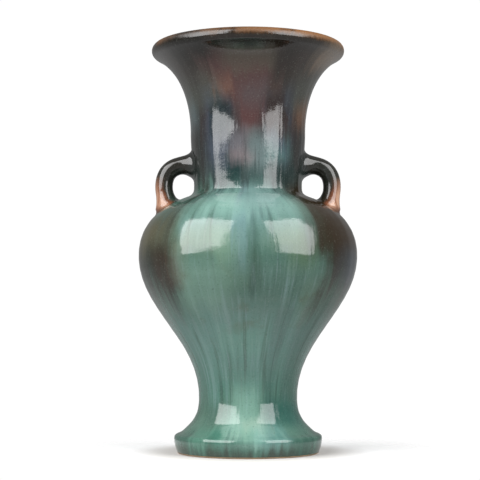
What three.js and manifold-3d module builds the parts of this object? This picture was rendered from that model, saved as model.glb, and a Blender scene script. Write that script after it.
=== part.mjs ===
// Twin-handled vase in a running flambe glaze: four thrown clay sections luted one on the other, and two loop
// handles. Millimetres, +Z up. The origin is on the floor at the centre of the foot, the handles point along X.
import * as THREE from "three";
import { mergeVertices } from "three/addons/utils/BufferGeometryUtils.js";
import Module from "manifold-3d";

const degrees = Math.PI / 180;

// Clay thickness, and the underside of the foot
const wall = 5.5;
const lipThickness = 10;
const ringWidth = 6.5;
const ringChamfer = 1;
const recessDepth = 9;
const footFloor = 9;

// Slip joint left between a handle and the wall that carries it
const clearance = 0.3;

// Heights of the stretches of the body, each one standing on the stretch below it
const bandHeight = 11;
const ledgeHeight = 5.3;
const coveHeight = 23.7;
const lowerBodyHeight = 104;
const domeHeight = 41;
const shoulderRootHeight = 8;
const neckHeight = 41;
const flareHeight = 66;

// Stations of the outline from the floor up. The lean is the outline's direction there in degrees: 0 runs
// outwards, 90 runs straight up. The pulls say how far that direction is held towards the stations below and
// above, as shares of the distance to them.
const footEdge = { radius: 51.8, lean: 62, pullAbove: 0.35 };
const footBand = { radius: 54.3, lean: 90, pullBelow: 0.35, pullAbove: 0.45 };
const footLedge = { radius: 48.1, lean: 140, pullBelow: 0.4, pullAbove: 0.45 };
const waist = { radius: 36.3, lean: 90, pullBelow: 0.4, pullAbove: 0.38 };
const belly = { radius: 80.5, lean: 90, pullBelow: 0.35, pullAbove: 0.56 };
const shoulderEdge = { radius: 50, lean: 157, pullBelow: 0.12, pullAbove: 0.4 };
const neckRoot = { radius: 40, lean: 90, pullBelow: 0.4, pullAbove: 0.33 };
const neckTop = { radius: 42.5, lean: 90, pullBelow: 0.33, pullAbove: 0.3 };
const mouth = { radius: 71.3, lean: 30, pullBelow: 0.39 };
footEdge.height = ringChamfer;
footBand.height = bandHeight;
footLedge.height = footBand.height + ledgeHeight;
waist.height = footLedge.height + coveHeight;
belly.height = waist.height + lowerBodyHeight;
shoulderEdge.height = belly.height + domeHeight;
neckRoot.height = shoulderEdge.height + shoulderRootHeight;
neckTop.height = neckRoot.height + neckHeight;
mouth.height = neckTop.height + flareHeight;

// Loop handles. They spring from the neck above its root, reach out past it, bend down and land on the shoulder.
const springAboveRoot = 17;
const springLean = 10;
const springPull = 0.55;
const reachPastRoot = 28.5;
const outermostAboveRoot = 1.5;
const bendPull = 0.45;
const landingPastRoot = 19;
const landingLean = -105;
const landingPull = 0.3;
const handleThickness = 13;
const handleWidth = 15;
const endSwell = 3;
const endSwellLength = 11;
const rootDepth = 4;

// Fineness of the facets
const sides = 48;
const steps = { footEdge: 2, footBand: 4, cove: 6, lowerBody: 10, dome: 8, root: 5, neck: 3, flare: 8, lip: 6 };
const insideShare = 0.6;
const bowlSteps = 6;
const handleRings = 22;
const handleSides = 16;

// Unit vector of a direction given in degrees.
function heading(lean) {
  return new THREE.Vector2(Math.cos(lean * degrees), Math.sin(lean * degrees));
}

// The smooth curve from one station to the next.
function stretch(lower, upper) {
  const start = new THREE.Vector2(lower.radius, lower.height);
  const end = new THREE.Vector2(upper.radius, upper.height);
  const distance = start.distanceTo(end);
  const startPull = start.clone().addScaledVector(heading(lower.lean), lower.pullAbove * distance);
  const endPull = end.clone().addScaledVector(heading(upper.lean), -upper.pullBelow * distance);
  return new THREE.CubicBezierCurve(start, startPull, endPull, end);
}

// Points along that curve, each with the direction that the outline has there.
function trace(lower, upper, count) {
  const curve = stretch(lower, upper);
  return Array.from({ length: count + 1 }, (_, index) => {
    const direction =
      index === 0 ? heading(lower.lean)
      : index === count ? heading(upper.lean)
      : curve.getTangent(index / count);
    return { point: curve.getPoint(index / count), direction };
  });
}

// Traces joined end to end, without the points that they share.
function join(...traces) {
  return traces.flatMap((samples, index) => (index === 0 ? samples : samples.slice(1)));
}

// The traced line moved towards the axis by a thickness that runs evenly from the first value to the second.
function inset(samples, first, second = first) {
  return samples.map(({ point, direction }, index) => {
    const thickness = THREE.MathUtils.lerp(first, second, index / (samples.length - 1));
    return new THREE.Vector2(point.x - direction.y * thickness, point.y + direction.x * thickness);
  });
}

function pointsOf(samples) {
  return samples.map((sample) => sample.point);
}

function insideSteps(count) {
  return Math.ceil(count * insideShare);
}

// The first point of a curve that is past a mark, found by halving.
function pointWhere(curve, isPast) {
  let low = 0;
  let high = 1;
  while (high - low > 1e-6) {
    const middle = (low + high) / 2;
    if (isPast(curve.getPoint(middle))) {
      high = middle;
    } else {
      low = middle;
    }
  }
  return curve.getPoint(low);
}

// Body of revolution from an outline of [radius, height] points, outside upwards and inside downwards.
function turned(points) {
  return new THREE.LatheGeometry(points, sides).rotateX(Math.PI / 2);
}

// A thrown section: the outside from the bottom up and the inside back down, with flat joint faces.
function section(outside, inside) {
  const outline = [...outside, ...inside.reverse()];
  return turned([...outline, outline[0].clone()]);
}

// Spreading foot with the band, the cove up to the waist, the turned ring and the recess inside it.
function makeFoot() {
  const outside = join(
    trace(footEdge, footBand, steps.footEdge),
    trace(footBand, footLedge, steps.footBand),
    trace(footLedge, waist, steps.cove),
  );
  const ringInside = footEdge.radius - ringWidth;
  const recessCorner = ringInside - recessDepth / 2;
  const underside = [
    new THREE.Vector2(0, recessDepth),
    new THREE.Vector2(recessCorner, recessDepth),
    new THREE.Vector2(ringInside - ringChamfer, recessDepth / 2),
    new THREE.Vector2(ringInside, ringChamfer),
    new THREE.Vector2(ringInside + ringChamfer, 0),
    new THREE.Vector2(footEdge.radius - ringChamfer, 0),
  ];
  const bowlFloor = { radius: 0, height: recessDepth + footFloor, lean: 0, pullAbove: 0.55 };
  const bowlRim = { radius: waist.radius - wall, height: waist.height, lean: 90, pullBelow: 0.4 };
  const bowl = pointsOf(trace(bowlFloor, bowlRim, bowlSteps)).reverse();
  return turned([...underside, ...pointsOf(outside), ...bowl]);
}

// Wall from the waist to the widest part of the belly.
function makeLowerBody() {
  const outside = pointsOf(trace(waist, belly, steps.lowerBody));
  const inside = inset(trace(waist, belly, insideSteps(steps.lowerBody)), wall);
  return section(outside, inside);
}

// Wall from the belly over the shoulder to the root of the neck.
function makeShoulder() {
  const outside = join(
    trace(belly, shoulderEdge, steps.dome),
    trace(shoulderEdge, neckRoot, steps.root),
  );
  const inside = join(
    trace(belly, shoulderEdge, insideSteps(steps.dome)),
    trace(shoulderEdge, neckRoot, insideSteps(steps.root)),
  );
  return section(pointsOf(outside), inset(inside, wall));
}

// The round lip, and the station where the flare runs out into it.
const lipRadius = lipThickness / 2;
const lipCentre = new THREE.Vector2(mouth.radius - lipRadius, mouth.height - lipRadius);
const underLip = lipCentre.clone().addScaledVector(heading(mouth.lean - 90), lipRadius);
const flareEnd = { ...mouth, radius: underLip.x, height: underLip.y };

// Neck and trumpet mouth. The wall thickens along the flare and ends in the lip.
function makeNeckAndMouth() {
  const outside = join(trace(neckRoot, neckTop, steps.neck), trace(neckTop, flareEnd, steps.flare));
  const stemInside = inset(trace(neckRoot, neckTop, insideSteps(steps.neck)), wall);
  const flareInside = inset(trace(neckTop, flareEnd, insideSteps(steps.flare)), wall, lipThickness);
  const lip = Array.from({ length: steps.lip - 1 }, (_, index) => {
    const turn = mouth.lean - 90 + (180 * (index + 1)) / steps.lip;
    return lipCentre.clone().addScaledVector(heading(turn), lipRadius);
  });
  return section([...pointsOf(outside), ...lip], [...stemInside, ...flareInside.slice(1)]);
}

// A bar of oval section lofted along a curve in the XZ plane, closed at both ends.
function loft(samples, sizeAt) {
  const positions = [];
  const indices = [];
  samples.forEach(({ point, direction, travelled }) => {
    const { thickness, width } = sizeAt(travelled);
    for (let side = 0; side < handleSides; side += 1) {
      const turn = (2 * Math.PI * side) / handleSides;
      const across = (Math.cos(turn) * thickness) / 2;
      const aside = (Math.sin(turn) * width) / 2;
      positions.push(point.x - direction.y * across, aside, point.y + direction.x * across);
    }
  });
  const lastRing = samples.length - 1;
  for (let ring = 0; ring < lastRing; ring += 1) {
    for (let side = 0; side < handleSides; side += 1) {
      const next = (side + 1) % handleSides;
      const here = ring * handleSides;
      const there = here + handleSides;
      indices.push(here + side, there + side, here + next);
      indices.push(here + next, there + side, there + next);
    }
  }
  for (let side = 1; side < handleSides - 1; side += 1) {
    const last = lastRing * handleSides;
    indices.push(0, side, side + 1);
    indices.push(last, last + side + 1, last + side);
  }
  const geometry = new THREE.BufferGeometry();
  geometry.setAttribute("position", new THREE.Float32BufferAttribute(positions, 3));
  geometry.setIndex(indices);
  return geometry;
}

const wasm = await Module();
wasm.setup();

// A closed geometry as a solid that can be cut.
function solidOf(geometry) {
  const bare = geometry.clone();
  bare.deleteAttribute("normal");
  bare.deleteAttribute("uv");
  const merged = mergeVertices(bare, 1e-4);
  return new wasm.Manifold(
    new wasm.Mesh({
      numProp: 3,
      vertProperties: new Float32Array(merged.attributes.position.array),
      triVerts: new Uint32Array(merged.index.array),
    }),
  );
}

function geometryOf(solid) {
  const mesh = solid.getMesh();
  const geometry = new THREE.BufferGeometry();
  geometry.setAttribute("position", new THREE.BufferAttribute(mesh.vertProperties, 3));
  geometry.setIndex(new THREE.BufferAttribute(mesh.triVerts, 1));
  geometry.computeVertexNormals();
  return geometry;
}

// Loop handle on the +X side, trimmed to the neck and the shoulder that it is luted to.
function makeHandle() {
  const springHeight = neckRoot.height + springAboveRoot;
  const landingRadius = neckRoot.radius + landingPastRoot;
  const onNeck = pointWhere(stretch(neckRoot, neckTop), (point) => point.y > springHeight);
  const onShoulder = pointWhere(stretch(belly, shoulderEdge), (point) => point.x < landingRadius);
  const into = heading(landingLean).multiplyScalar(rootDepth);
  const spring = {
    radius: onNeck.x - rootDepth,
    height: onNeck.y,
    lean: springLean,
    pullAbove: springPull,
  };
  const outermost = {
    radius: neckRoot.radius + reachPastRoot - handleThickness / 2,
    height: neckRoot.height + outermostAboveRoot,
    lean: -90,
    pullBelow: bendPull,
    pullAbove: landingPull,
  };
  const landing = {
    radius: onShoulder.x + into.x,
    height: onShoulder.y + into.y,
    lean: landingLean,
    pullBelow: landingPull,
  };
  const half = handleRings / 2;
  const samples = join(trace(spring, outermost, half), trace(outermost, landing, half));
  let length = 0;
  samples.forEach((sample, index) => {
    length += index === 0 ? 0 : sample.point.distanceTo(samples[index - 1].point);
    sample.travelled = length;
  });
  const sizeAt = (travelled) => {
    const fromEnd = Math.min(travelled, length - travelled) - rootDepth;
    const nearness = THREE.MathUtils.clamp(1 - fromEnd / endSwellLength, 0, 1);
    const swell = 2 * endSwell * nearness ** 2;
    return { thickness: handleThickness + swell, width: handleWidth + swell };
  };
  return geometryOf(solidOf(loft(samples, sizeAt)).subtract(solidOf(wallKeepOut())));
}

// The vase from the belly to the lip as a full round, grown by the joint's clearance.
function wallKeepOut() {
  const outside = join(
    trace(belly, shoulderEdge, steps.dome),
    trace(shoulderEdge, neckRoot, steps.root),
    trace(neckRoot, neckTop, steps.neck),
    trace(neckTop, flareEnd, steps.flare),
  );
  const grown = inset(outside, -clearance);
  return turned([
    new THREE.Vector2(0, grown[0].y),
    ...grown,
    new THREE.Vector2(0, grown[grown.length - 1].y),
  ]);
}

// Fired glaze of one colour as it reads on that piece.
function glaze(color, roughness) {
  return new THREE.MeshStandardMaterial({ color, roughness, metalness: 0 });
}

function piece(name, geometry, material) {
  const mesh = new THREE.Mesh(geometry, material);
  mesh.name = name;
  return mesh;
}

const vase = new THREE.Group();
vase.add(piece("foot", makeFoot(), glaze(0x7f9f8b, 0.18)));
vase.add(piece("lower_body", makeLowerBody(), glaze(0x67836f, 0.15)));
vase.add(piece("shoulder", makeShoulder(), glaze(0x7fa594, 0.15)));
vase.add(piece("neck_and_mouth", makeNeckAndMouth(), glaze(0x5b4c45, 0.15)));

const loop = makeHandle();
const darkGlaze = glaze(0x4c463c, 0.2);
const leftSide = new THREE.Group();
leftSide.rotation.z = Math.PI;
leftSide.add(piece("handle_left", loop, darkGlaze));
vase.add(leftSide);
vase.add(piece("handle_right", loop, darkGlaze));

export default vase;
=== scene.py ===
import math
from dataclasses import dataclass

import bpy
import numpy as np
from mathutils import Euler, Matrix


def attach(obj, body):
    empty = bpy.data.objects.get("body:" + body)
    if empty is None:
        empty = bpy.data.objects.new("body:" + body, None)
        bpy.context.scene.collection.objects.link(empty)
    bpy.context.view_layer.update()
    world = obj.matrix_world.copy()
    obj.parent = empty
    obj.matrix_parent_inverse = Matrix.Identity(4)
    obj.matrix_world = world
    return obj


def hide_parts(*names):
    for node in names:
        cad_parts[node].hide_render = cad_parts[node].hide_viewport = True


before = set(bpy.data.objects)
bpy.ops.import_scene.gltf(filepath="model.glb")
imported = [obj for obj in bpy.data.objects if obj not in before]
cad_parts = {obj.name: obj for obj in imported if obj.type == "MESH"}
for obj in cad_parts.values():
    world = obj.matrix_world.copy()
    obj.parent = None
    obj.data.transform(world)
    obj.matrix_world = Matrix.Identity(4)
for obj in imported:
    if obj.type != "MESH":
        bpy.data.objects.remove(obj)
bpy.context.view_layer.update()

MM = 0.001
UP = np.array([0.0, 0.0, 1.0])
TINY = 1e-9

# Fineness of the surfaces: numbers of sides and rows, and spacings along a line. The footings are the
# places on the wall where a handle springs and lands.
SIDES = 180
LIP_ROWS = 14
HANDLE_SIDES = 40
HANDLE_ROWS = 64
FILLET_ROWS = 7
LEAST_STEPS = 3
CORNER_CUTS = 2
OUTSIDE_SPACING = 1.4
INSIDE_SPACING = 3.0
WALL_LINE_SPACING = 0.4
FOOTING_SPACING = 0.2
HANDLE_SPACING = 0.3

# Clay thickness and the underside of the foot
WALL = 5.5
LIP_RADIUS = 5.0
RING_WIDTH = 6.5
RING_CHAMFER = 1.0
RECESS_DEPTH = 9.0
RECESS_MIDDLE = 1.0
FOOT_FLOOR = 9.0

# Places of the two materials in a section's list of them
GLAZED = 0
BARE = 1


@dataclass
class Station:
    """A place on the outline and the lean of the line there: 0 runs outwards and 90 straight up.

    A pull says how far the curve holds to that lean, as a share of the distance to the station below or
    above.
    """
    radius: float
    height: float
    lean: float
    pull_below: float = 0.0
    pull_above: float = 0.0


# The outline, from the foot up
FOOT_EDGE = Station(51.8, RING_CHAMFER, 62, pull_above=0.35)
FOOT_BAND = Station(54.3, 11, 90, pull_below=0.35, pull_above=0.45)
FOOT_LEDGE = Station(48.1, 16.3, 140, pull_below=0.4, pull_above=0.45)
WAIST = Station(36.3, 40, 90, pull_below=0.4, pull_above=0.38)
BELLY = Station(80.5, 144, 90, pull_below=0.35, pull_above=0.56)
SHOULDER_EDGE = Station(50, 185, 157, pull_below=0.12, pull_above=0.4)
NECK_ROOT = Station(40, 193, 90, pull_below=0.4, pull_above=0.33)
NECK_TOP = Station(42.5, 234, 90, pull_below=0.33, pull_above=0.3)
MOUTH = Station(71.3, 300, 30, pull_below=0.39)

# The bowl inside the foot
BOWL_FLOOR = Station(0, RECESS_DEPTH + FOOT_FLOOR, 0, pull_above=0.55)
BOWL_RIM = Station(WAIST.radius - WALL, WAIST.height, 90, pull_below=0.4)

# Loop handles. Each springs from the neck, bends down and lands on the shoulder, and swells at both ends.
# Its places are counted from the neck's root.
SPRING_ABOVE_ROOT = 17
SPRING_LEAN = 10
SPRING_PULL = 0.55
REACH_PAST_ROOT = 28.5
OUTERMOST_ABOVE_ROOT = 1.5
BEND_PULL = 0.45
LANDING_PAST_ROOT = 19
LANDING_LEAN = -105
LANDING_PULL = 0.3
HANDLE_THICKNESS = 13
HANDLE_WIDTH = 15
END_SWELL = 3
END_SWELL_LENGTH = 11

# Joint of a handle to the wall: how deep the middle line goes in and how far it runs on past that, how wide
# the soft hollow round the joint is, how far its edge is let in, and how deep a hidden skirt goes below it
ROOT_DEPTH = 4
RUN_ON = 4
FILLET = 3.6
SEAM_DEPTH = 0.06
SKIRT_DEPTH = 1.0

# Throwing rings, all relief being inwards from the outline. They are unevenly spaced, and weaker on the neck.
RING_RELIEF = 0.08
RING_PITCH = 7.5
RING_UNEVENNESS = 1.3
RING_UNEVEN_LENGTH = 23.0
RINGS_LOST_ON_NECK = 0.85
NECK_STARTS = (190, 205)

# The roundness of the vase is a little off, by an oval and a three-sided form that twists with height
OVAL_RELIEF = 0.12
OVAL_TURN = 0.6
TWIST_LENGTH = 90.0

# Runs of glaze that stand proud: ranges of their widths in radians, of the heights that they come down to
# and of their strengths. They wander a little, end softly, and are gone below the lip.
RUN_SEED = 7
RUN_COUNT = 34
RUN_RELIEF = 0.3
RUN_SHIFT = 0.4
RUN_WIDTHS = (0.04, 0.1)
RUN_ENDS = (8, 120)
RUN_STRENGTHS = (0.35, 1.0)
RUN_WANDER = 0.03
RUN_WANDER_LENGTH = 19.0
RUN_WANDER_SPREAD = 9
RUN_END_SOFTNESS = (-6, 10)
RUNS_GONE = (255, 290)

# Shares of the relief. It starts over the first rows of the foot's edge, fades over the rows below the lip,
# and is weak on the lip and on the inside, where it starts at a distance from the axis.
FOOT_EDGE_ROWS = (-1, 3)
BELOW_LIP_ROWS = (-6, 2)
LOST_BELOW_LIP = 0.8
LIP_SHARE = 0.1
INSIDE_SHARE = 0.35
INSIDE_STARTS = (6, 26)

# Glaze colours from the floor up: height, and colour from 0 to 255
GLAZE_BY_HEIGHT = [
    (0, (44, 58, 50)),
    (10, (58, 90, 80)),
    (18, (82, 114, 101)),
    (34, (66, 97, 85)),
    (50, (64, 98, 88)),
    (85, (70, 105, 97)),
    (118, (63, 90, 80)),
    (150, (60, 90, 79)),
    (172, (84, 114, 106)),
    (188, (80, 108, 102)),
    (200, (46, 58, 56)),
    (216, (42, 46, 47)),
    (240, (48, 42, 43)),
    (268, (46, 38, 34)),
    (290, (37, 31, 26)),
    (300, (30, 24, 18)),
]

# How far the noises move the glaze: its colours up and down, and the edges of a patch up and down, and
# sideways as a share of the half-width
HEIGHT_DRIFT = 34.0
HEIGHT_RUNS = 30.0
PATCH_RUNS = 14.0
PATCH_CLOUDS = 16.0
PATCH_WAVER = 0.24

# The fan of mint on the shoulder is as wide as the vase at its foot, and narrows to nothing over its height
FAN_FOOT = 160.0
FAN_HEIGHT = 60.0

# The plum on the neck starts at its foot and widens upwards, by a share of the half-width for each
# millimetre. It is narrower on the lower left.
PLUM_FOOT = 208.0
PLUM_WIDENING = 0.0085
PLUM_LOST_ON_LEFT = 0.1

# Middle of a loop's hole, from the axis and from the floor
HOLE_RADIUS = 47.6
HOLE_HEIGHT = 195.0

# Gloss of the glaze and its fine bumps, whose height is in metres
GLAZE_ROUGHNESS = 0.11
ROUGHNESS_REACH = 0.1
ROUGHNESS_WHERE_THIN = 0.4
GLAZE_IOR = 1.52
DIMPLE_SHARE = 0.25
GLAZE_BUMP = 0.25
GLAZE_BUMP_HEIGHT = 0.0006

# Bare clay of the foot ring, with lengths in metres
CLAY = (150, 122, 92)
PALE_CLAY = (176, 150, 118)
GRIT = (110, 86, 64)
CLAY_ROUGHNESS = 0.8
CLAY_BUMP = 0.4
CLAY_BUMP_HEIGHT = 0.0003

# Floor, in metres. A contact shadow is painted on it near the foot, and its paper thins out into the
# backdrop.
# A reach is a range of distances from the middle, from where the change starts to where it is complete.
FLOOR_HALF = 0.5
PAPER = (233, 233, 234)
PALE_PAPER = (238, 238, 238)
PAPER_ROUGHNESS = 0.9
# The painted contact shadow: its colour and its reach
PAINTED_SHADOW = (191, 188, 185)
PAINTED_SHADOW_REACH = (0.098, 0.058)
PAPER_REACH = (0.06, 0.18)

# Light of the room, as shares of white: from above, from the pale floor around, and what the camera sees
# behind. A direction's rise runs from -1, straight down, to 1, straight up.
ROOM_LIGHT = 0.26
FLOOR_LIGHT = 0.58
BACKDROP_LIGHT = 1.02
FLOOR_LIGHT_RISE = -0.5
ROOM_LIGHT_RISE = 0.15

# Softboxes, in metres and degrees. Azimuth 0 is the camera's side, and it grows to the right.
SOFTBOX_DISTANCE = 1.5
AIM_HEIGHT = 0.15
SOFTBOXES = {
    "softbox_left": dict(azimuth=-54, elevation=31.1, roll=14, width=1.35, height=1.66, brightness=6.8),
    "softbox_right": dict(azimuth=51.5, elevation=29.2, roll=-8, width=1.15, height=1.75, brightness=5.9),
}

# Camera, with its place in metres, its tilt from straight down in degrees, and its own sizes in millimetres
CAMERA_PLACE = (-0.0059, -1.02, 0.092)
CAMERA_TILT = 93.555
CAMERA_LENS = 104.05
SENSOR_WIDTH = 36


def heading(lean):
    """The direction of a line with a given lean, as outwards and upwards parts."""
    return np.array([math.cos(math.radians(lean)), math.sin(math.radians(lean))])


def trace(lower, upper, spacing):
    """Points and directions along the smooth curve from one station to the next."""
    start = np.array([lower.radius, lower.height], float)
    end = np.array([upper.radius, upper.height], float)
    distance = np.linalg.norm(end - start)
    pull_up = start + heading(lower.lean) * lower.pull_above * distance
    pull_down = end - heading(upper.lean) * upper.pull_below * distance
    count = max(LEAST_STEPS, math.ceil(distance / spacing))
    gone = np.linspace(0, 1, count + 1)[:, None]
    left = 1 - gone
    points = (
        left ** 3 * start
        + 3 * left ** 2 * gone * pull_up
        + 3 * left * gone ** 2 * pull_down
        + gone ** 3 * end
    )
    slopes = (
        left ** 2 * (pull_up - start)
        + 2 * left * gone * (pull_down - pull_up)
        + gone ** 2 * (end - pull_down)
    )
    if upper.pull_below == 0:
        slopes[-1] = heading(upper.lean)
    return points, slopes / np.linalg.norm(slopes, axis=1, keepdims=True)


def join(*stretches):
    """Stretches end to end, without the points that they share."""
    points = [stretches[0][0]] + [stretch[0][1:] for stretch in stretches[1:]]
    slopes = [stretches[0][1]] + [stretch[1][1:] for stretch in stretches[1:]]
    return np.concatenate(points), np.concatenate(slopes)


def inset(stretch, first, second=None):
    """The traced line moved towards the axis by a thickness that runs from the first value to the second."""
    points, slopes = stretch
    second = first if second is None else second
    thickness = np.linspace(first, second, len(points))[:, None]
    return points + np.stack([-slopes[:, 1], slopes[:, 0]], axis=1) * thickness


# The lip is a half-round roll at the end of the flare
LIP_CENTRE = np.array([MOUTH.radius - LIP_RADIUS, MOUTH.height - LIP_RADIUS])
UNDER_LIP = LIP_CENTRE + heading(MOUTH.lean - 90) * LIP_RADIUS
FLARE_END = Station(UNDER_LIP[0], UNDER_LIP[1], MOUTH.lean, MOUTH.pull_below)

# The outside of each section, from the bottom up
OUTSIDE = {
    "foot": [(FOOT_EDGE, FOOT_BAND), (FOOT_BAND, FOOT_LEDGE), (FOOT_LEDGE, WAIST)],
    "lower_body": [(WAIST, BELLY)],
    "shoulder": [(BELLY, SHOULDER_EDGE), (SHOULDER_EDGE, NECK_ROOT)],
    "neck_and_mouth": [(NECK_ROOT, NECK_TOP), (NECK_TOP, FLARE_END)],
}
SECTIONS = list(OUTSIDE)


def outside_of(section, spacing=OUTSIDE_SPACING):
    """Points and directions along the outside of a section, from the bottom up."""
    return join(*[trace(lower, upper, spacing) for lower, upper in OUTSIDE[section]])


def inside_of(section):
    """Points of the inside of a section, from the bottom up."""
    if section == "foot":
        return trace(BOWL_FLOOR, BOWL_RIM, INSIDE_SPACING)[0][1:]
    if section == "neck_and_mouth":
        stem = inset(trace(NECK_ROOT, NECK_TOP, INSIDE_SPACING), WALL)
        flare = inset(trace(NECK_TOP, FLARE_END, INSIDE_SPACING), WALL, 2 * LIP_RADIUS)
        return np.concatenate([stem, flare[1:]])
    return inset(outside_of(section, INSIDE_SPACING), WALL)


def lip_points():
    """Points over the roll of the lip, from the outside to the inside, without its two ends."""
    turns = [MOUTH.lean - 90 + 180 * step / LIP_ROWS for step in range(1, LIP_ROWS)]
    return np.array([LIP_CENTRE + heading(turn) * LIP_RADIUS for turn in turns])


def underside_points():
    """The recess and the turned foot ring, from the middle outwards, with its corners rounded."""
    ring_inside = FOOT_EDGE.radius - RING_WIDTH
    line = np.array([
        [RECESS_MIDDLE, RECESS_DEPTH],
        [ring_inside - RECESS_DEPTH / 2, RECESS_DEPTH],
        [ring_inside - RING_CHAMFER, RECESS_DEPTH / 2],
        [ring_inside, RING_CHAMFER],
        [ring_inside + RING_CHAMFER, 0],
        [FOOT_EDGE.radius - RING_CHAMFER, 0],
        [FOOT_EDGE.radius, FOOT_EDGE.height],
    ])
    # Each round cuts every corner off, a quarter of the way along the lines that meet there
    for _ in range(CORNER_CUTS):
        cut = [line[0]]
        for here, there in zip(line[:-1], line[1:]):
            cut += [0.75 * here + 0.25 * there, 0.25 * here + 0.75 * there]
        line = np.array(cut + [line[-1]])
    return line


# Where each run of glaze is round the vase, how wide it is, how far down it comes and how strong it is
chance = np.random.default_rng(RUN_SEED)
run_shifts = chance.uniform(-RUN_SHIFT, RUN_SHIFT, RUN_COUNT)
run_turns = (np.arange(RUN_COUNT) + run_shifts) * 2 * math.pi / RUN_COUNT
run_widths = chance.uniform(*RUN_WIDTHS, RUN_COUNT)
run_ends = chance.uniform(*RUN_ENDS, RUN_COUNT)
run_strengths = chance.uniform(*RUN_STRENGTHS, RUN_COUNT)


def smooth_step(value, low, high):
    """0 below the low value, 1 above the high one and smooth between."""
    share = np.clip((value - low) / (high - low), 0, 1)
    return share * share * (3 - 2 * share)


def relief(turn, height):
    """How far the finished surface lies inside the outline, for a direction and a height."""
    unevenness = RING_UNEVENNESS * np.sin(height / RING_UNEVEN_LENGTH)
    rings = 0.5 + 0.5 * np.sin(2 * math.pi * height / RING_PITCH + unevenness)
    rings = rings * (1 - RINGS_LOST_ON_NECK * smooth_step(height, *NECK_STARTS))
    oval = 0.5 + 0.25 * np.cos(2 * turn + OVAL_TURN) + 0.25 * np.cos(3 * turn + height / TWIST_LENGTH)
    runs = np.zeros(np.broadcast(turn, height).shape)
    for place, width, end, strength in zip(run_turns, run_widths, run_ends, run_strengths):
        wander = place + RUN_WANDER * np.sin(height / RUN_WANDER_LENGTH + RUN_WANDER_SPREAD * place)
        away = np.angle(np.exp(1j * (turn - wander)))
        across = np.exp(-((away / width) ** 2))
        down = smooth_step(height, end + RUN_END_SOFTNESS[0], end + RUN_END_SOFTNESS[1])
        runs = np.maximum(runs, strength * across * down)
    runs = runs * (1 - smooth_step(height, *RUNS_GONE))
    return RING_RELIEF * rings + OVAL_RELIEF * oval + RUN_RELIEF * (1 - runs)


def turned(points, relief_share):
    """Rings of points round the axis, one for each point of the line, let in by a share of the relief."""
    turn = np.linspace(0, 2 * math.pi, SIDES, endpoint=False)[None, :]
    slope = np.gradient(points, axis=0)
    slope /= np.linalg.norm(slope, axis=1, keepdims=True)
    depth = relief(turn, points[:, 1:2]) * relief_share[:, None]
    radius = points[:, :1] - slope[:, 1:] * depth
    height = points[:, 1:] + slope[:, :1] * depth
    return np.stack([radius * np.cos(turn), radius * np.sin(turn), height], axis=-1)


def normals_of(grid):
    """Unit normals of rings of points, pointing away from the clay when the line runs up the outside."""
    along_line = np.gradient(grid, axis=0)
    around = np.roll(grid, -1, axis=1) - np.roll(grid, 1, axis=1)
    normal = np.cross(around, along_line)
    return normal / np.maximum(np.linalg.norm(normal, axis=2, keepdims=True), TINY)


def add_object(name, data):
    """An object in the scene for a mesh, a light or a camera."""
    made = bpy.data.objects.new(name, data)
    bpy.context.scene.collection.objects.link(made)
    return made


def make_piece(name, strips, materials):
    """A mesh of strips of rings, each given by its grid of points, its normals and its material's place.

    A flat cap is given in the same way, by one ring of points and one normal.
    """
    vertices = []
    faces = []
    corners = []
    kinds = []
    for grid, normals, kind in strips:
        first = len(vertices)
        if grid.ndim == 2:
            vertices += grid.tolist()
            faces.append(list(range(first, first + len(grid))))
            corners += [normals] * len(grid)
            kinds.append(kind)
            continue
        rows, sides = grid.shape[:2]
        vertices += grid.reshape(-1, 3).tolist()
        for row in range(rows - 1):
            for side in range(sides):
                following = (side + 1) % sides
                quad = [(row, side), (row, following), (row + 1, following), (row + 1, side)]
                faces.append([first + r * sides + s for r, s in quad])
                corners += [normals[r, s] for r, s in quad]
                kinds.append(kind)
    mesh = bpy.data.meshes.new(name)
    mesh.from_pydata((np.array(vertices) * MM).tolist(), [], faces)
    for material in materials:
        mesh.materials.append(material)
    mesh.polygons.foreach_set("material_index", kinds)
    mesh.polygons.foreach_set("use_smooth", [True] * len(faces))
    mesh.normals_split_custom_set([tuple(corner) for corner in corners])
    return add_object(name, mesh)


def joint_face(first_ring, second_ring, facing):
    """The flat strip between the outside and the inside of the clay, where two sections meet."""
    grid = np.stack([first_ring, second_ring])
    return grid, np.broadcast_to(facing, grid.shape), GLAZED


def skin():
    """The whole glazed surface as one run of rings: up the outside, over the lip and down the inside.

    Given with its normals, the rows where the outsides end, the row where the inside starts, and the rows
    where the insides end.
    """
    outside = [outside_of(section)[0] for section in SECTIONS]
    inside = [inside_of(section)[::-1] for section in reversed(SECTIONS)]
    lines = [outside[0]] + [line[1:] for line in outside[1:]] + [lip_points()]
    lines += [inside[0]] + [line[1:] for line in inside[1:]]
    points = np.concatenate(lines)
    outside_ends = np.cumsum([len(line) - 1 for line in outside])
    under_lip = outside_ends[-1]
    inside_start = under_lip + LIP_ROWS
    inside_ends = inside_start + np.cumsum([len(line) - 1 for line in inside])
    row = np.arange(len(points))
    share = smooth_step(row, *FOOT_EDGE_ROWS)
    share *= 1 - LOST_BELOW_LIP * smooth_step(row - under_lip, *BELOW_LIP_ROWS)
    share[inside_start:] = INSIDE_SHARE * smooth_step(points[inside_start:, 0], *INSIDE_STARTS)
    share[under_lip:inside_start + 1] = LIP_SHARE
    grid = turned(points, share)
    return grid, normals_of(grid), outside_ends, inside_start, inside_ends


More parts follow.
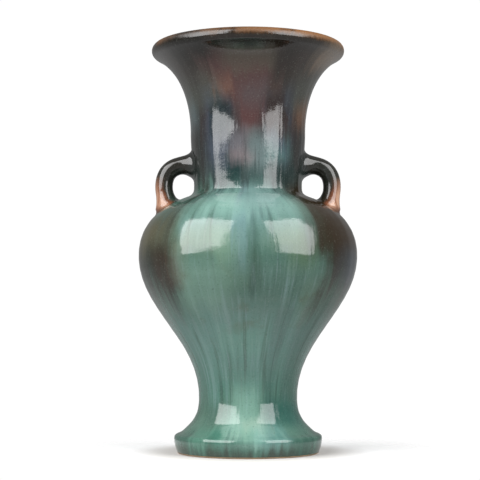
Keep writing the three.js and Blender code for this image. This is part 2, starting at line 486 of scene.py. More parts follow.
def make_sections(materials):
    """The glazed pieces that stand for the four thrown sections."""
    grid, normals, outside_ends, inside_start, inside_ends = skin()
    outside_starts = [0, *outside_ends[:-1]]
    inside_starts = [inside_start, *inside_ends[:-1]]
    made = []
    for place, section in enumerate(SECTIONS):
        low = outside_starts[place]
        high = outside_ends[place]
        opposite = len(SECTIONS) - 1 - place
        inner_high = inside_starts[opposite]
        inner_low = inside_ends[opposite]
        strips = []
        if section == "neck_and_mouth":
            strips.append((grid[low:inner_low + 1], normals[low:inner_low + 1], GLAZED))
        else:
            strips.append((grid[low:high + 1], normals[low:high + 1], GLAZED))
            strips.append((grid[inner_high:inner_low + 1], normals[inner_high:inner_low + 1], GLAZED))
            strips.append(joint_face(grid[high], grid[inner_high], UP))
        if section == "foot":
            strips.append((grid[inner_low], UP, GLAZED))
            under = turned(underside_points(), np.zeros(len(underside_points())))
            strips.append((under, normals_of(under), BARE))
            strips.append((under[0][::-1], -UP, BARE))
        else:
            strips.append(joint_face(grid[inner_low], grid[low], -UP))
        made.append(make_piece("glazed_" + section, strips, materials))
    return made


def wall_line():
    """The outline from the belly to the lip, closely spaced, with its normals."""
    shoulder = outside_of("shoulder", WALL_LINE_SPACING)
    neck = outside_of("neck_and_mouth", WALL_LINE_SPACING)
    points, slopes = join(shoulder, neck)
    return points, np.stack([slopes[:, 1], -slopes[:, 0]], axis=1)


def wall_under(points):
    """For points near the wall: how far off the wall they are, the wall point under each, and its normal."""
    line, line_normals = wall_line()
    radius = np.linalg.norm(points[..., :2], axis=-1)
    turn = np.arctan2(points[..., 1], points[..., 0])
    flat = np.stack([radius, points[..., 2]], axis=-1)
    nearest = np.argmin(np.linalg.norm(flat[..., None, :] - line, axis=-1), axis=-1)
    away = flat - line[nearest]
    across = line_normals[nearest]
    off = np.sum(away * across, axis=-1)
    on_line = flat - across * off[..., None]
    depth = relief(turn, on_line[..., 1])
    let_in = on_line - across * depth[..., None]
    spread = np.stack([np.cos(turn), np.sin(turn)], axis=-1)
    place = np.concatenate([let_in[..., :1] * spread, let_in[..., 1:]], axis=-1)
    normal = np.concatenate([across[..., :1] * spread, across[..., 1:]], axis=-1)
    return off + depth, place, normal


def handle_line():
    """Points and directions along the middle of a handle, in the XZ plane."""
    neck_points = trace(NECK_ROOT, NECK_TOP, FOOTING_SPACING)[0]
    shoulder_points = trace(BELLY, SHOULDER_EDGE, FOOTING_SPACING)[0]
    spring_height = NECK_ROOT.height + SPRING_ABOVE_ROOT
    spring_radius = np.interp(spring_height, neck_points[:, 1], neck_points[:, 0])
    landing_radius = NECK_ROOT.radius + LANDING_PAST_ROOT
    landing_height = np.interp(-landing_radius, -shoulder_points[:, 0], shoulder_points[:, 1])
    into = heading(LANDING_LEAN) * ROOT_DEPTH
    spring = Station(spring_radius - ROOT_DEPTH, spring_height, SPRING_LEAN, pull_above=SPRING_PULL)
    outermost = Station(
        NECK_ROOT.radius + REACH_PAST_ROOT - HANDLE_THICKNESS / 2,
        NECK_ROOT.height + OUTERMOST_ABOVE_ROOT,
        -90,
        pull_below=BEND_PULL,
        pull_above=LANDING_PULL,
    )
    landing = Station(
        landing_radius + into[0],
        landing_height + into[1],
        LANDING_LEAN,
        pull_below=LANDING_PULL,
    )
    return join(trace(spring, outermost, HANDLE_SPACING), trace(outermost, landing, HANDLE_SPACING))


def handle_bar():
    """The untrimmed handle as rings of points along its middle line, run on into the wall at both ends."""
    points, slopes = handle_line()
    run_on = np.arange(HANDLE_SPACING, RUN_ON, HANDLE_SPACING)[:, None]
    before = points[0] - slopes[0] * run_on[::-1]
    after = points[-1] + slopes[-1] * run_on
    points = np.concatenate([before, points, after])
    slopes = np.pad(slopes, ((len(before), len(after)), (0, 0)), mode="edge")
    travelled = np.concatenate([[0], np.cumsum(np.linalg.norm(np.diff(points, axis=0), axis=1))])
    from_end = np.minimum(travelled, travelled[-1] - travelled) - ROOT_DEPTH - RUN_ON
    swell = 2 * END_SWELL * np.clip(1 - from_end / END_SWELL_LENGTH, 0, 1) ** 2
    turn = np.linspace(0, 2 * math.pi, HANDLE_SIDES, endpoint=False)[None, :]
    across = np.cos(turn) * (HANDLE_THICKNESS + swell)[:, None] / 2
    aside = np.sin(turn) * (HANDLE_WIDTH + swell)[:, None] / 2
    x = points[:, :1] - slopes[:, 1:] * across
    z = points[:, 1:] + slopes[:, :1] * across
    return np.stack([x, aside, z], axis=-1)


def along(bar, places):
    """Points of the bar at a fractional row for each side."""
    rows = np.clip(places, 0, len(bar) - 1 - TINY)
    low = rows.astype(int)
    share = (rows - low)[..., None]
    side = np.arange(bar.shape[1])
    return bar[low, side] * (1 - share) + bar[low + 1, side] * share


def crossing(off, from_start):
    """The fractional row at which each side leaves the wall."""
    rows = []
    for side in range(off.shape[1]):
        outside = np.nonzero(off[:, side] > 0)[0]
        here = outside[0] if from_start else outside[-1]
        beyond = here - 1 if from_start else here + 1
        share = off[here, side] / (off[here, side] - off[beyond, side])
        rows.append(here + (beyond - here) * share)
    return np.array(rows)


def fillet_rows(bar, rows, step):
    """Rings that run from the bar down to the wall in a soft hollow, and the wall's normal under the last."""
    corner = along(bar, rows)
    start = along(bar, rows + step)
    normal = wall_under(corner)[2]
    outwards = corner - corner.mean(axis=0)
    outwards -= normal * np.sum(outwards * normal, axis=-1, keepdims=True)
    outwards /= np.linalg.norm(outwards, axis=-1, keepdims=True)
    _, foot, foot_normal = wall_under(corner + outwards * FILLET)
    foot = foot - foot_normal * SEAM_DEPTH
    gone = np.linspace(0, 1, FILLET_ROWS + 1)[:, None, None]
    left = 1 - gone
    return left ** 2 * start + 2 * left * gone * corner + gone ** 2 * foot, foot_normal


def make_handle(name, turned_by, material):
    """A handle with its two soft joints. It is made on the right, and turned about the axis by an angle."""
    bar = handle_bar()
    off = wall_under(bar)[0]
    row_length = np.linalg.norm(np.diff(bar.mean(axis=1), axis=0), axis=1).mean()
    step = FILLET / row_length
    first = crossing(off, from_start=True)
    last = crossing(off, from_start=False)
    spring_fillet, spring_normal = fillet_rows(bar, first, step)
    landing_fillet, landing_normal = fillet_rows(bar, last, -step)
    share = np.linspace(0, 1, HANDLE_ROWS)[1:-1, None]
    middle = along(bar, (first + step) * (1 - share) + (last - step) * share)
    grid = np.concatenate([spring_fillet[::-1], middle, landing_fillet])
    normals = normals_of(grid)
    normals[0] = spring_normal
    normals[-1] = landing_normal
    skirt_above = grid[0] - spring_normal * SKIRT_DEPTH
    skirt_below = grid[-1] - landing_normal * SKIRT_DEPTH
    grid = np.concatenate([skirt_above[None], grid, skirt_below[None]])
    normals = np.concatenate([normals[:1], normals, normals[-1:]])
    turn = np.array([
        [math.cos(turned_by), -math.sin(turned_by), 0],
        [math.sin(turned_by), math.cos(turned_by), 0],
        UP,
    ])
    grid = grid @ turn.T
    normals = normals @ turn.T
    caps = [
        (grid[0][::-1], -normals[0].mean(axis=0), GLAZED),
        (grid[-1], -normals[-1].mean(axis=0), GLAZED),
    ]
    return make_piece(name, [(grid, normals, GLAZED), *caps], [material])


def srgb(red, green, blue):
    """Linear colour from the usual 0 to 255 values."""
    shares = [value / 255 for value in (red, green, blue)]
    linear = [share / 12.92 if share <= 0.04045 else ((share + 0.055) / 1.055) ** 2.4 for share in shares]
    return (*linear, 1.0)


class Graph:
    """Short calls for building the nodes of a material or a world."""

    def __init__(self, owner):
        owner.use_nodes = True
        self.owner = owner
        self.tree = owner.node_tree
        self.tree.nodes.clear()

    def node(self, kind, inputs=(), **settings):
        """A new node. Each input is a number or a colour, or the output of a node that it is linked to."""
        made = self.tree.nodes.new(kind)
        for key, value in settings.items():
            setattr(made, key, value)
        for key, value in dict(inputs).items():
            self.feed(made.inputs[key], value)
        return made

    def feed(self, socket, value):
        """Links an output to an input, or sets the input to a number or a colour."""
        if isinstance(value, bpy.types.NodeSocket):
            self.tree.links.new(value, socket)
        else:
            socket.default_value = value

    def math(self, operation, first, second=0.0):
        """The result of a sum on one or two values."""
        return self.node("ShaderNodeMath", {0: first, 1: second}, operation=operation).outputs[0]

    def vector(self, x, y, z):
        """A place or direction put together from three values."""
        return self.node("ShaderNodeCombineXYZ", {0: x, 1: y, 2: z}).outputs[0]

    def noise(self, vector, scale=1.0, detail=3.0, roughness=0.5, distortion=0.0):
        """A smooth noise that stays mostly near 0.5."""
        inputs = {
            "Vector": vector,
            "Scale": scale,
            "Detail": detail,
            "Roughness": roughness,
            "Distortion": distortion,
        }
        return self.node("ShaderNodeTexNoise", inputs).outputs["Fac"]

    def step(self, value, low, high):
        """0 below low, 1 above high and smooth between, or the other way round where low is the larger."""
        rises = low < high
        inputs = {
            "Value": value,
            "From Min": min(low, high),
            "From Max": max(low, high),
            "To Min": 0.0 if rises else 1.0,
            "To Max": 1.0 if rises else 0.0,
        }
        return self.node("ShaderNodeMapRange", inputs, interpolation_type="SMOOTHSTEP").outputs[0]

    def band(self, value, low, high, soft):
        """1 between two values, with edges that fade over the soft distance on either side of each."""
        rise = self.step(value, low - soft, low + soft)
        fall = self.step(value, high + soft, high - soft)
        return self.math("MULTIPLY", rise, fall)

    def both(self, *masks):
        """The masks multiplied together."""
        product = masks[0]
        for mask in masks[1:]:
            product = self.math("MULTIPLY", product, mask)
        return product

    def ramp(self, value, stops):
        """A colour that goes smoothly from stop to stop, each of them a place from 0 to 1 and a colour."""
        made = self.node("ShaderNodeValToRGB", {"Fac": value})
        elements = made.color_ramp.elements
        # New stops start in the middle and get their own places below
        while len(elements) < len(stops):
            elements.new(0.5)
        for element, (place, colour) in zip(elements, stops):
            element.position = place
            element.color = colour
        made.color_ramp.interpolation = "EASE"
        return made.outputs["Color"]

    def mix(self, share, first, second):
        """The first colour where the share is 0, and the second where it is 1."""
        made = self.node("ShaderNodeMix", data_type="RGBA")
        self.feed(made.inputs[0], share)
        self.feed(made.inputs[6], first)
        self.feed(made.inputs[7], second)
        return made.outputs[2]


class Glaze(Graph):
    """A running glaze. Its colours are laid one over the other, by height and from side to side."""

    def __init__(self, name):
        super().__init__(bpy.data.materials.new(name))
        place = self.node("ShaderNodeTexCoord").outputs["Object"]
        split = self.node("ShaderNodeSeparateXYZ", {0: place})
        self.x, self.y, self.z = (self.math("DIVIDE", split.outputs[axis], MM) for axis in range(3))
        x_squared = self.math("MULTIPLY", self.x, self.x)
        y_squared = self.math("MULTIPLY", self.y, self.y)
        squares = self.math("ADD", x_squared, y_squared)
        # The 1 that is added keeps the radius above 0 on the axis
        self.radius = self.math("SQRT", self.math("ADD", squares, 1.0))
        self.across = self.math("DIVIDE", self.x, self.radius)
        self.depthwise = self.math("DIVIDE", self.y, self.radius)
        self.sideways = self.math("ABSOLUTE", self.across)
        spot = self.vector(self.x, self.y, self.z)
        self.broad = self.noise(self.drawn_out(around=4.0, down=0.012), detail=2.0)
        self.streaks = self.noise(self.drawn_out(around=11.0, down=0.014), detail=4.0, distortion=0.4)
        self.hairs = self.noise(self.drawn_out(around=42.0, down=0.035), detail=3.0, roughness=0.6)
        self.clouds = self.noise(spot, scale=0.045, detail=5.0, roughness=0.6)
        self.specks = self.noise(spot, scale=0.9, detail=3.0, roughness=0.6)
        self.dimples = self.noise(spot, scale=0.5, detail=2.0)
        self.colour = None
        self.roughness = self.moved(GLAZE_ROUGHNESS, self.clouds, ROUGHNESS_REACH)

    def drawn_out(self, around, down):
        """A place for noise that meets itself round the vase, by its fineness around and down the vase."""
        sides = [self.math("MULTIPLY", value, around) for value in (self.across, self.depthwise)]
        return self.vector(*sides, self.math("MULTIPLY", self.z, down))

    def moved(self, value, noise, reach):
        """A value pushed up and down by a noise, by up to half the reach each way."""
        return self.math("ADD", value, self.math("MULTIPLY", self.math("SUBTRACT", noise, 0.5), reach))

    def lay(self, colour, strength, *masks):
        """A colour over those below it, where all its masks are 1."""
        share = self.math("MULTIPLY", self.both(*masks), strength)
        self.colour = self.mix(share, self.colour, colour)

    def patch(self, colour, strength, across, heights, soft=0.14, fade=9.0):
        """A patch with wavering edges, given by shares of the half-width and by heights."""
        side = self.moved(self.across, self.streaks, PATCH_WAVER)
        level = self.moved(self.moved(self.z, self.streaks, PATCH_RUNS), self.clouds, PATCH_CLOUDS)
        self.lay(colour, strength, self.band(side, *across, soft), self.band(level, *heights, fade))


def lay_heights(glaze):
    """The glaze's main colours, from the mint foot to the dark mouth, pulled up and down in runs."""
    drifted = glaze.moved(glaze.z, glaze.broad, HEIGHT_DRIFT)
    read_height = glaze.moved(drifted, glaze.streaks, HEIGHT_RUNS)
    stops = [(height / MOUTH.height, srgb(*colour)) for height, colour in GLAZE_BY_HEIGHT]
    glaze.colour = glaze.ramp(glaze.math("DIVIDE", read_height, MOUTH.height), stops)


def lay_body_streaks(glaze):
    """Pale and dark streaks down the body, fine hair lines, and broad patches that break up its green."""
    on_body = glaze.band(glaze.z, 30, 186, 14)
    glaze.lay(srgb(96, 122, 118), 0.45, glaze.step(glaze.streaks, 0.54, 0.68), on_body)
    glaze.lay(srgb(36, 58, 50), 0.55, glaze.step(glaze.streaks, 0.46, 0.34), on_body)
    glaze.lay(srgb(60, 66, 40), 0.45, glaze.step(glaze.clouds, 0.56, 0.7), glaze.band(glaze.z, 88, 136, 16))
    hair_lines = glaze.step(glaze.hairs, 0.52, 0.72)
    glaze.lay(srgb(104, 122, 126), 0.35, hair_lines, glaze.band(glaze.z, 20, 236, 20))
    glaze.patch(srgb(100, 130, 116), 0.55, across=(-0.68, -0.2), heights=(104, 136))
    glaze.patch(srgb(92, 122, 108), 0.4, across=(-0.34, -0.12), heights=(136, 160), soft=0.1)
    # Partly painted highlight, partly warmer glaze: lighter under the lower parts of the softbox reflections
    # on the belly
    glaze.patch(srgb(118, 138, 112), 0.26, across=(-0.66, -0.08), heights=(142, 158))
    glaze.patch(srgb(120, 136, 100), 0.22, across=(0.12, 0.56), heights=(146, 158))
    glaze.patch(srgb(104, 136, 112), 0.14, across=(-0.28, -0.02), heights=(116, 158), soft=0.08)
    glaze.patch(srgb(72, 86, 44), 0.35, across=(0.36, 0.58), heights=(132, 150), soft=0.1)
    glaze.patch(srgb(96, 124, 124), 0.35, across=(-0.16, 0.2), heights=(146, 178))
    glaze.patch(srgb(42, 66, 53), 0.36, across=(-0.01, 0.1), heights=(116, 160), soft=0.05)
    glaze.patch(srgb(92, 120, 124), 0.4, across=(-0.12, -0.02), heights=(130, 190), soft=0.04)
    glaze.patch(srgb(40, 68, 62), 0.4, across=(0.3, 0.5), heights=(26, 105), soft=0.08)
    glaze.patch(srgb(30, 54, 46), 0.5, across=(0.6, 1.0), heights=(36, 112))
    glaze.patch(srgb(56, 70, 68), 0.25, across=(-1.0, -0.78), heights=(36, 100))
    glaze.patch(srgb(86, 138, 116), 0.17, across=(-0.4, 0.24), heights=(72, 94), soft=0.1)
    glaze.patch(srgb(104, 112, 108), 0.22, across=(-1.1, -0.72), heights=(96, 122), soft=0.1)
    glaze.patch(srgb(98, 112, 92), 0.2, across=(0.5, 0.74), heights=(96, 122), soft=0.1)


def lay_foot(glaze):
    """A painted highlight of pale mint in the middle of the foot, and painted shade of deeper green towards
    its sides.
    """
    # Painted highlight: paler mint down the middle of the foot
    glaze.patch(srgb(120, 156, 142), 0.4, across=(-0.32, 0.2), heights=(12, 49))
    # Painted shade: deeper green towards the sides of the foot
    glaze.lay(srgb(16, 66, 60), 0.7, glaze.step(glaze.across, 0.15, 0.5), glaze.band(glaze.z, 19, 39, 7))
    glaze.lay(srgb(34, 66, 56), 0.65, glaze.step(glaze.across, 0.4, 0.8), glaze.step(glaze.z, 24, 10))
    glaze.lay(srgb(48, 66, 56), 0.4, glaze.step(glaze.across, -0.3, -0.6), glaze.step(glaze.z, 42, 28))
    glaze.patch(srgb(56, 114, 96), 0.32, across=(-0.78, -0.34), heights=(6, 22), soft=0.1, fade=5)
    glaze.patch(srgb(104, 146, 142), 0.3, across=(0.06, 0.56), heights=(8, 22), soft=0.1, fade=5)
    # Painted highlight on the cove of the foot
    glaze.patch(srgb(150, 162, 146), 0.2, across=(-0.12, 0.24), heights=(18, 27), soft=0.1, fade=5)


def lay_shoulder(glaze):
    """Pale mint where the glaze runs off the neck and fans out over the shoulder, and painted shade at the
    neck's root.
    """
    risen = glaze.math("DIVIDE", glaze.math("SUBTRACT", glaze.z, FAN_FOOT), FAN_HEIGHT)
    spread = glaze.math("SUBTRACT", 1.0, risen)
    fan = glaze.step(glaze.math("SUBTRACT", glaze.sideways, spread), 0.05, -0.25)
    flow = glaze.moved(glaze.z, glaze.streaks, 22.0)
    glaze.lay(srgb(108, 142, 132), 0.75, fan, glaze.band(flow, 170, 185, 8))
    glaze.patch(srgb(96, 120, 122), 0.3, across=(-0.08, 0.36), heights=(174, 188), soft=0.12)
    glaze.patch(srgb(70, 68, 86), 0.13, across=(-0.06, 0.5), heights=(168, 194), soft=0.1)
    glaze.patch(srgb(42, 64, 62), 0.7, across=(-0.02, 0.56), heights=(192, 208), soft=0.12)
    glaze.patch(srgb(52, 80, 70), 0.6, across=(-0.7, -0.44), heights=(167, 184), soft=0.1)
    # Painted shade: the glaze is darkened at the left of the neck's root to hold down the softbox reflection
    # there
    glaze.patch(srgb(12, 36, 38), 0.95, across=(-0.6, -0.12), heights=(192, 212), soft=0.1)
    glaze.patch(srgb(28, 54, 50), 0.5, across=(-0.46, -0.16), heights=(190, 204), soft=0.08, fade=6)


def lay_dark_sides(glaze):
    """Dark sides of the belly below the handles, olive on the left and brown on the right."""
    edge = glaze.moved(glaze.moved(glaze.sideways, glaze.clouds, 0.24), glaze.streaks, 0.22)
    level = glaze.moved(glaze.moved(glaze.z, glaze.streaks, 60.0), glaze.hairs, 26.0)
    dark = glaze.both(glaze.step(edge, 0.58, 0.77), glaze.step(level, 88, 132), glaze.step(glaze.z, 204, 190))
    brown = glaze.mix(glaze.step(glaze.x, -25, 25), srgb(24, 25, 18), srgb(30, 21, 11))
    glaze.lay(brown, 0.95, dark)
    glaze.patch(srgb(98, 92, 66), 0.6, across=(-1.1, -0.78), heights=(150, 166), soft=0.2, fade=18)
    glaze.patch(srgb(96, 104, 88), 0.2, across=(-0.84, -0.64), heights=(148, 170), soft=0.1)
    glaze.patch(srgb(78, 112, 102), 0.8, across=(-1.1, -0.8), heights=(174, 189), soft=0.2, fade=12)
    glaze.patch(srgb(36, 24, 8), 0.85, across=(0.54, 1.1), heights=(142, 188))
    glaze.patch(srgb(56, 72, 86), 0.35, across=(0.84, 1.1), heights=(120, 146))
    glaze.patch(srgb(14, 34, 32), 0.8, across=(0.36, 0.84), heights=(192, 208), soft=0.1)
    glaze.patch(srgb(48, 26, 16), 0.42, across=(-0.84, -0.66), heights=(118, 146), soft=0.08)
    glaze.patch(srgb(104, 82, 62), 0.22, across=(-0.68, -0.55), heights=(122, 152), soft=0.06)


def lay_neck(glaze):
    """Plum down the middle of the neck, blue-grey beside it and dark brown at its sides."""
    reach = glaze.math("MULTIPLY", glaze.math("SUBTRACT", glaze.z, PLUM_FOOT), PLUM_WIDENING)
    lower_left = glaze.both(glaze.step(glaze.across, 0.0, -0.25), glaze.step(glaze.z, 262, 246))
    reach = glaze.math("SUBTRACT", reach, glaze.math("MULTIPLY", lower_left, PLUM_LOST_ON_LEFT))
    past_reach = glaze.math("SUBTRACT", glaze.moved(glaze.sideways, glaze.streaks, 0.3), reach)
    in_middle = glaze.step(past_reach, 0.12, -0.18)
    glaze.lay(srgb(72, 47, 46), 0.8, in_middle, glaze.band(glaze.z, 226, 284, 12))
    cloudy = glaze.step(glaze.clouds, 0.42, 0.58)
    on_neck = glaze.band(glaze.z, 206, 262, 10)
    glaze.lay(srgb(58, 68, 82), 0.6, cloudy, on_neck, glaze.band(glaze.sideways, 0.3, 0.74, 0.12))
    at_sides = glaze.step(glaze.moved(glaze.sideways, glaze.clouds, 0.3), 0.62, 0.86)
    glaze.lay(srgb(24, 22, 18), 0.65, at_sides, glaze.band(glaze.z, 198, 292, 10))
    glaze.patch(srgb(17, 21, 16), 0.75, across=(0.32, 0.64), heights=(240, 292))
    glaze.patch(srgb(108, 76, 58), 0.45, across=(-0.54, -0.24), heights=(255, 268), soft=0.1)
    glaze.patch(srgb(60, 76, 80), 0.25, across=(-0.1, 0.34), heights=(250, 264), soft=0.1)
    glaze.patch(srgb(84, 62, 56), 0.3, across=(0.36, 0.56), heights=(256, 268), soft=0.1)
    glaze.patch(srgb(34, 12, 6), 0.7, across=(0.26, 0.62), heights=(232, 256), soft=0.1)
    glaze.patch(srgb(10, 28, 32), 0.9, across=(-0.66, -0.3), heights=(228, 254), soft=0.1)
    glaze.patch(srgb(70, 86, 88), 0.5, across=(-1.1, -0.84), heights=(234, 258), soft=0.1)
    glaze.patch(srgb(70, 76, 70), 0.35, across=(-1.1, -0.44), heights=(250, 270), soft=0.1)
    glaze.patch(srgb(70, 76, 70), 0.35, across=(0.68, 1.1), heights=(246, 272), soft=0.1)
    glaze.patch(srgb(96, 66, 46), 0.5, across=(0.8, 1.1), heights=(236, 254), soft=0.1)


def lay_neck_runs_and_highlights(glaze):
    """Pale runs at the root of the neck, partly painted highlight, bluer on the left and mint on the right.
    """
    # Pale glaze, partly a painted highlight below the softbox reflections on the neck
    glaze.patch(srgb(112, 108, 114), 0.45, across=(-0.34, 0.0), heights=(213, 230))
    glaze.patch(srgb(96, 112, 112), 0.7, across=(0.0, 0.44), heights=(204, 229))
    glaze.patch(srgb(138, 120, 122), 0.34, across=(-0.3, 0.1), heights=(208, 217), soft=0.1, fade=6)
    glaze.patch(srgb(74, 116, 108), 0.4, across=(0.32, 0.72), heights=(210, 222), soft=0.1)
    dark_streaks = glaze.step(glaze.streaks, 0.48, 0.36)
    at_root = glaze.band(glaze.z, 196, 238, 9)
    glaze.lay(srgb(40, 50, 50), 0.5, dark_streaks, at_root, glaze.step(glaze.sideways, 0.66, 0.4))


def lay_lip(glaze):
    """Painted shade darkens the glaze under the lip, and the glaze thins to tan along its edge."""
    edge = glaze.moved(glaze.moved(glaze.z, glaze.clouds, 5.0), glaze.hairs, 3.0)
    # Painted shade on the outer part of the lip, under its edge
    glaze.lay(srgb(22, 18, 14), 0.6, glaze.step(glaze.radius, 58, 64), glaze.step(glaze.z, 284, 290))
    share = glaze.math("ADD", 0.4, glaze.math("MULTIPLY", glaze.step(glaze.across, -0.5, 0.7), 0.5))
    thin = glaze.both(
        glaze.step(edge, 293, 298),
        glaze.step(glaze.radius, 61, 67),
        glaze.step(glaze.clouds, 0.3, 0.5),
    )
    glaze.lay(srgb(116, 75, 34), share, thin)
    glaze.roughness = glaze.math("ADD", glaze.roughness, glaze.math("MULTIPLY", thin, ROUGHNESS_WHERE_THIN))
    glaze.patch(srgb(78, 88, 72), 0.24, across=(-0.32, 0.36), heights=(272, 286), soft=0.1, fade=6)
    # Painted shade under the lip on the left
    glaze.patch(srgb(8, 6, 2), 0.92, across=(-0.84, -0.44), heights=(282, 300), soft=0.1)
    glaze.patch(srgb(116, 98, 80), 0.55, across=(0.82, 1.2), heights=(279, 297), soft=0.1)


def lay_handle_edges(glaze):
    """Dark glaze on a handle, breaking to rust and tan along its outer and lower edge, most on the right."""
    beside = glaze.math("SUBTRACT", glaze.math("ABSOLUTE", glaze.x), HOLE_RADIUS)
    above = glaze.math("SUBTRACT", glaze.z, HOLE_HEIGHT)
    beside_squared = glaze.math("MULTIPLY", beside, beside)
    above_squared = glaze.math("MULTIPLY", above, above)
    from_hole = glaze.math("SQRT", glaze.math("ADD", beside_squared, above_squared))
    reach = glaze.moved(glaze.moved(from_hole, glaze.clouds, 9.0), glaze.specks, 2.0)
    lower = glaze.step(glaze.moved(above, glaze.clouds, 14.0), 9, -8)
    share = glaze.math("ADD", 0.7, glaze.math("MULTIPLY", glaze.step(glaze.x, -10, 10), 0.3))
    glaze.lay(srgb(30, 27, 21), 0.7, glaze.step(glaze.radius, 41, 48))
    off_wall = glaze.step(glaze.moved(glaze.z, glaze.hairs, 8.0), 174, 182)
    glaze.lay(srgb(102, 58, 36), 0.9, glaze.step(reach, 13, 17), lower)
    glaze.lay(srgb(178, 141, 118), 0.9, glaze.step(reach, 16, 20.5), lower, share, off_wall)
    glaze.lay(srgb(112, 68, 46), 0.7, glaze.step(glaze.hairs, 0.5, 0.64), glaze.step(reach, 15, 17), lower)
    glaze.lay(srgb(30, 24, 16), 0.8, glaze.step(glaze.moved(glaze.z, glaze.streaks, 6.0), 181, 173))


def lay_specks(glaze):
    """Fine pale and dark specks everywhere."""
    glaze.lay(srgb(150, 160, 150), 0.11, glaze.step(glaze.specks, 0.56, 0.74))
    glaze.lay(srgb(14, 17, 14), 0.35, glaze.step(glaze.specks, 0.42, 0.28))


def make_glaze(name, layers):
    """A glossy glaze of the given layers, with fine bumps from its streaks and dimples."""
    glaze = Glaze(name)
    for lay in layers:
        lay(glaze)
    height = glaze.math("ADD", glaze.streaks, glaze.math("MULTIPLY", glaze.dimples, DIMPLE_SHARE))
    bump = glaze.node("ShaderNodeBump", {
        "Strength": GLAZE_BUMP,
        "Distance": GLAZE_BUMP_HEIGHT,
        "Height": height,
    })
    shader = glaze.node("ShaderNodeBsdfPrincipled", {
        "Base Color": glaze.colour,
        "Roughness": glaze.roughness,
        "Normal": bump.outputs[0],
        "IOR": GLAZE_IOR,
    })
    glaze.node("ShaderNodeOutputMaterial", {"Surface": shader.outputs[0]})
    return glaze.owner


def make_bare_clay():
    """Unglazed buff clay of the foot ring, patchy and with fine grit."""
    graph = Graph(bpy.data.materials.new("bare_clay"))
    place = graph.node("ShaderNodeTexCoord").outputs["Object"]
    grit = graph.noise(place, scale=900.0, detail=4.0, roughness=0.7)
    patches = graph.noise(place, scale=60.0, detail=3.0)
    colour = graph.mix(patches, srgb(*CLAY), srgb(*PALE_CLAY))
    colour = graph.mix(graph.math("MULTIPLY", graph.step(grit, 0.5, 0.7), 0.5), colour, srgb(*GRIT))
    bump = graph.node("ShaderNodeBump", {
        "Strength": CLAY_BUMP,
        "Distance": CLAY_BUMP_HEIGHT,
        "Height": grit,
    })
    shader = graph.node("ShaderNodeBsdfPrincipled", {
        "Base Color": colour,
        "Roughness": CLAY_ROUGHNESS,
        "Normal": bump.outputs[0],
    })
    graph.node("ShaderNodeOutputMaterial", {"Surface": shader.outputs[0]})
    return graph.owner


def make_floor():
    """Pale paper under the vase, with a contact shadow painted near the foot, that thins out into the
    backdrop's white.
    """
    graph = Graph(bpy.data.materials.new("pale_floor"))
    place = graph.node("ShaderNodeTexCoord").outputs["Object"]
    grain = graph.noise(place, scale=40.0, detail=2.0)
    colour = graph.mix(grain, srgb(*PAPER), srgb(*PALE_PAPER))
    reach = graph.node("ShaderNodeVectorMath", {0: place}, operation="LENGTH").outputs["Value"]
    # Painted contact shadow: the paper turns darker towards the foot
    colour = graph.mix(graph.step(reach, *PAINTED_SHADOW_REACH), colour, srgb(*PAINTED_SHADOW))
    paper = graph.node("ShaderNodeBsdfPrincipled", {"Base Color": colour, "Roughness": PAPER_ROUGHNESS})
    nothing = graph.node("ShaderNodeBsdfTransparent")
    thinness = graph.step(reach, *PAPER_REACH)
    shader = graph.node("ShaderNodeMixShader", {0: thinness, 1: paper.outputs[0], 2: nothing.outputs[0]})
    graph.node("ShaderNodeOutputMaterial", {"Surface": shader.outputs[0]})
    corners = [(x * FLOOR_HALF, y * FLOOR_HALF, 0) for x, y in ((-1, -1), (1, -1), (1, 1), (-1, 1))]
    mesh = bpy.data.meshes.new("floor")
    mesh.from_pydata(corners, [], [(0, 1, 2, 3)])
    mesh.materials.append(graph.owner)
    floor = add_object("floor", mesh)


def make_softbox(name, azimuth, elevation, roll, width, height, brightness):
    """A rectangular light aimed at the vase. The roll turns it about the line to where it is aimed."""
    light = bpy.data.lights.new(name, "AREA")
    light.shape = "RECTANGLE"
    light.size = width
    light.size_y = height
    light.energy = brightness * math.pi * width * height
    turn = math.radians(azimuth)
    rise = math.radians(elevation)
    lamp = add_object(name, light)
    lamp.location = (
        SOFTBOX_DISTANCE * math.cos(rise) * math.sin(turn),
        -SOFTBOX_DISTANCE * math.cos(rise) * math.cos(turn),
        AIM_HEIGHT + SOFTBOX_DISTANCE * math.sin(rise),
    )
    aimed = Euler((math.pi / 2 - rise, 0, turn)).to_matrix()
    lamp.rotation_euler = (aimed @ Matrix.Rotation(math.radians(roll), 3, "Z")).to_euler()


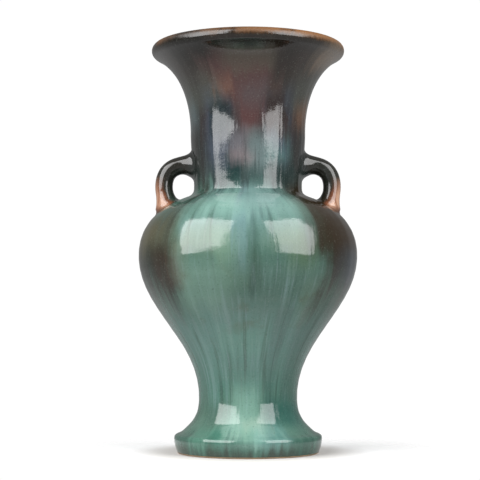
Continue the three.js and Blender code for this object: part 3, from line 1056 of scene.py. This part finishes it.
def make_world():
    """White behind the vase, and a soft room round it that is brighter towards the floor."""
    world = bpy.data.worlds.new("studio")
    graph = Graph(world)
    direction = graph.node("ShaderNodeTexCoord").outputs["Generated"]
    rise = graph.node("ShaderNodeSeparateXYZ", {0: direction}).outputs[2]
    brightness = graph.node("ShaderNodeMapRange", {
        "Value": rise,
        "From Min": FLOOR_LIGHT_RISE,
        "From Max": ROOM_LIGHT_RISE,
        "To Min": FLOOR_LIGHT,
        "To Max": ROOM_LIGHT,
    }, interpolation_type="SMOOTHSTEP").outputs[0]
    room = graph.node("ShaderNodeBackground", {"Color": (1, 1, 1, 1), "Strength": brightness})
    backdrop = graph.node("ShaderNodeBackground", {"Color": (1, 1, 1, 1), "Strength": BACKDROP_LIGHT})
    seen = graph.node("ShaderNodeLightPath").outputs["Is Camera Ray"]
    choice = graph.node("ShaderNodeMixShader", {0: seen, 1: room.outputs[0], 2: backdrop.outputs[0]})
    graph.node("ShaderNodeOutputWorld", {0: choice.outputs[0]})
    bpy.context.scene.world = world


def make_studio():
    """The light of the studio, shown without any tone curve."""
    make_world()
    bpy.context.scene.view_settings.view_transform = "Standard"
    for name, settings in SOFTBOXES.items():
        make_softbox(name, **settings)


def make_camera():
    """The scene's camera, which sees the vase as the photograph does."""
    camera = bpy.data.cameras.new("camera")
    camera.sensor_width = SENSOR_WIDTH
    camera.lens = CAMERA_LENS
    viewer = add_object("camera", camera)
    viewer.location = CAMERA_PLACE
    viewer.rotation_euler = (math.radians(CAMERA_TILT), 0, 0)
    bpy.context.scene.camera = viewer


make_camera()
make_studio()
make_floor()
low_layers = [lay_heights, lay_body_streaks, lay_foot, lay_shoulder]
high_layers = [lay_neck, lay_neck_runs_and_highlights, lay_dark_sides, lay_lip]
body_glaze = make_glaze("running_glaze", [*low_layers, *high_layers, lay_specks])
handle_glaze = make_glaze("handle_glaze", [*low_layers, *high_layers, lay_handle_edges, lay_specks])
bare_clay = make_bare_clay()
for section, piece in zip(SECTIONS, make_sections([body_glaze, bare_clay])):
    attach(piece, "root")
    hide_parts(section)
for side, turned_by in (("left", math.pi), ("right", 0.0)):
    piece = make_handle("glazed_handle_" + side, turned_by, handle_glaze)
    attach(piece, "root")
    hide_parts("handle_" + side)
